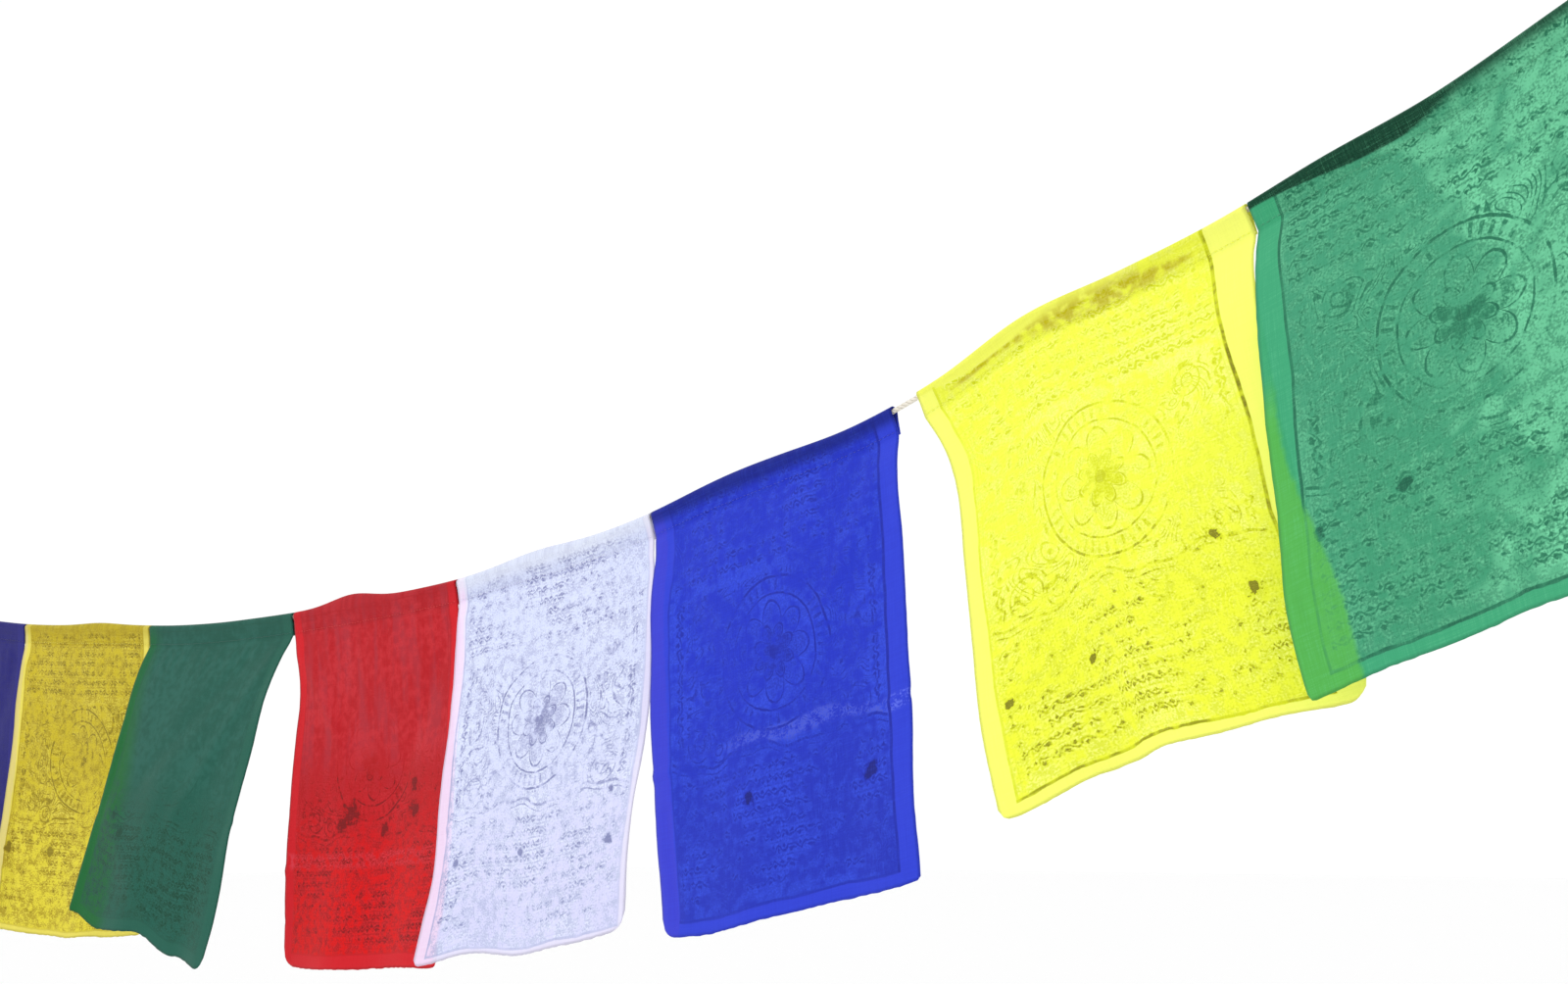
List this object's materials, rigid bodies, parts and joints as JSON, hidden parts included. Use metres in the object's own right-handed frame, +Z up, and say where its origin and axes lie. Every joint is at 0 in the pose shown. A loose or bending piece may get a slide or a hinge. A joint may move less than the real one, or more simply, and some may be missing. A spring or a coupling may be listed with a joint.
{
  "type": "hanging string of prayer flags",
  "caption": "Hanging string of printed prayer flags: thin oblong cloths in several colours, each hemmed over a sagging cord with a tie loop at each end.",
  "frame": {"origin": "inside the eye of the left tie loop, which hangs on a hook", "axes": "+X along the string towards its higher right end, +Y away from the side it is seen from, +Z up"},
  "size_m": [1.7725, 0.072, 0.5043],
  "materials": {
    "cloth_1_blue": "matte",
    "cloth_2_yellow": "matte",
    "cloth_3_green": "matte",
    "cloth_4_red": "matte",
    "cloth_5_white": "matte",
    "cloth_6_blue": "matte",
    "cloth_7_yellow": "matte",
    "cloth_8_green": "matte",
    "cord": "matte"
  },
  "bodies": {
    "root": {"flag_1_blue": "cloth_1_blue", "flag_2_yellow": "cloth_2_yellow", "flag_3_green": "cloth_3_green", "flag_4_red": "cloth_4_red", "flag_5_white": "cloth_5_white", "flag_6_blue": "cloth_6_blue", "flag_7_yellow": "cloth_7_yellow", "flag_8_green": "cloth_8_green", "cord": "cord", "left_knot": "cord", "left_tie_loop": "cord", "right_knot": "cord", "right_tie_loop": "cord"}
  },
  "joints": []
}
